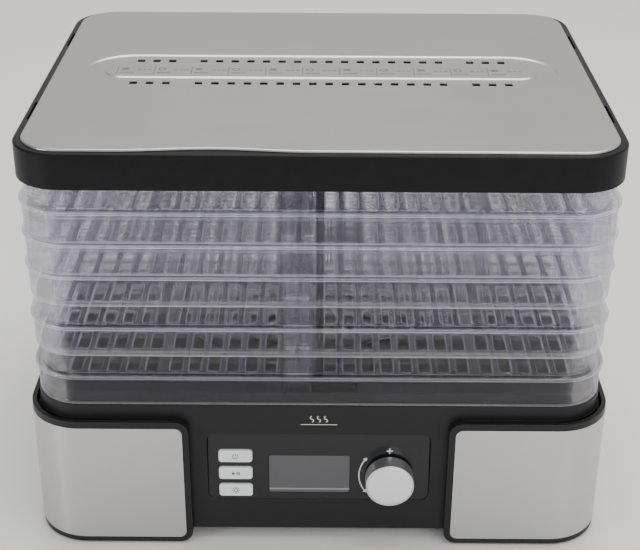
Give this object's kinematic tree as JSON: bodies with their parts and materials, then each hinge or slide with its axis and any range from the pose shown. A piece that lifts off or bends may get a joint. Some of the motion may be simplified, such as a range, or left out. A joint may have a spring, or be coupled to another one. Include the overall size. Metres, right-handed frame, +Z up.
{
  "type": "food dehydrator",
  "caption": "Tabletop food dehydrator: steel-clad black base with fan, heater, display, buttons and knob, clear stacking trays, and a vented steel-topped lid.",
  "frame": {"origin": "middle of the whole object on plan, on the table under the rubber feet", "axes": "+X to the right seen from the front, +Y towards the back, +Z up; the controls face -Y"},
  "size_m": [0.3544, 0.2854, 0.2618],
  "materials": {
    "black_satin": "satin moulded black, fine grain",
    "brushed_steel": "brushed stainless sheet",
    "black_gloss": "high-gloss black fascia",
    "clear_plastic": "clear moulded plastic with a faint violet tint",
    "silver_plastic": "silver-white painted key caps",
    "grey_lens": "grey display lens",
    "spun_aluminium": "spun, fine circular grain",
    "chrome": "bright plated plastic",
    "rubber": "matt black rubber",
    "dark_plastic": "plain dark plastic",
    "zinc_steel": "zinc-plated steel",
    "circuit_board": "green circuit board",
    "mica": "mica board",
    "heating_wire": "oxidised resistance wire",
    "white_plastic": "white insulating plastic"
  },
  "bodies": {
    "base": {"base_housing": "black_satin", "left_end_cap": "black_satin", "right_end_cap": "black_satin", "outlet_grille": "black_satin", "left_steel_cover": "brushed_steel", "right_steel_cover": "brushed_steel", "control_panel": "black_gloss", "display_window": "grey_lens", "foot_front_left": "rubber", "foot_front_right": "rubber", "foot_rear_left": "rubber", "foot_rear_right": "rubber", "bottom_cover": "dark_plastic", "lcd_module": "dark_plastic", "power_switch": "dark_plastic", "start_switch": "dark_plastic", "temperature_switch": "dark_plastic", "cable_gland": "dark_plastic", "rotary_encoder": "zinc_steel", "fan_motor": "zinc_steel", "motor_bracket": "zinc_steel", "air_duct": "zinc_steel", "temperature_sensor": "zinc_steel", "bracket_screw_left": "zinc_steel", "bracket_screw_right": "zinc_steel", "cap_screw_front_left": "zinc_steel", "cap_screw_front_right": "zinc_steel", "cap_screw_rear_left": "zinc_steel", "cap_screw_rear_right": "zinc_steel", "cover_screw_front_left": "zinc_steel", "cover_screw_front_right": "zinc_steel", "cover_screw_rear_left": "zinc_steel", "cover_screw_rear_right": "zinc_steel", "control_board": "circuit_board", "power_board": "circuit_board", "heater_frame": "mica", "heater_coil": "heating_wire", "thermostat": "white_plastic", "thermal_fuse": "white_plastic", "mains_terminal": "white_plastic"},
    "knob": {"encoder_shaft": "zinc_steel", "knob": "chrome", "knob_face": "spun_aluminium"},
    "power_button": {"power_button": "silver_plastic"},
    "start_button": {"start_button": "silver_plastic"},
    "temperature_button": {"temperature_button": "silver_plastic"},
    "fan": {"fan_shaft": "zinc_steel", "fan_impeller": "dark_plastic"},
    "tray_5": {"tray_5": "clear_plastic"},
    "tray_4": {"tray_4": "clear_plastic"},
    "tray_3": {"tray_3": "clear_plastic"},
    "tray_2": {"tray_2": "clear_plastic"},
    "tray_1": {"tray_1": "clear_plastic"},
    "lid": {"lid_frame": "black_satin", "lid_plate": "brushed_steel"}
  },
  "joints": [
    {"name": "tray_5_lift", "type": "slide", "parent": "base", "child": "tray_5", "axis": [0, 0, 1], "range_m": [0, 0.07]},
    {"name": "tray_4_lift", "type": "slide", "parent": "tray_5", "child": "tray_4", "axis": [0, 0, 1], "range_m": [0, 0.07]},
    {"name": "tray_3_lift", "type": "slide", "parent": "tray_4", "child": "tray_3", "axis": [0, 0, 1], "range_m": [0, 0.07]},
    {"name": "tray_2_lift", "type": "slide", "parent": "tray_3", "child": "tray_2", "axis": [0, 0, 1], "range_m": [0, 0.07]},
    {"name": "tray_1_lift", "type": "slide", "parent": "tray_2", "child": "tray_1", "axis": [0, 0, 1], "range_m": [0, 0.07]},
    {"name": "lid_lift", "type": "slide", "parent": "tray_1", "child": "lid", "axis": [0, 0, 1], "range_m": [0, 0.08]},
    {"name": "knob_turn", "type": "hinge", "parent": "base", "child": "knob", "pos_m": [0.0434, -0.132, 0.0482], "axis": [0, 1, 0], "continuous": true},
    {"name": "power_press", "type": "slide", "parent": "base", "child": "power_button", "axis": [0, 1, 0], "range_m": [0, 0.0008], "stiffness_N_per_m": 1000, "springref_m": -0.0004},
    {"name": "start_press", "type": "slide", "parent": "base", "child": "start_button", "axis": [0, 1, 0], "range_m": [0, 0.0008], "stiffness_N_per_m": 1000, "springref_m": -0.0004},
    {"name": "temperature_press", "type": "slide", "parent": "base", "child": "temperature_button", "axis": [0, 1, 0], "range_m": [0, 0.0008], "stiffness_N_per_m": 1000, "springref_m": -0.0004},
    {"name": "fan_spin", "type": "hinge", "parent": "base", "child": "fan", "pos_m": [0, 0.00245, 0.061], "axis": [0, 0, 1], "continuous": true}
  ]
}
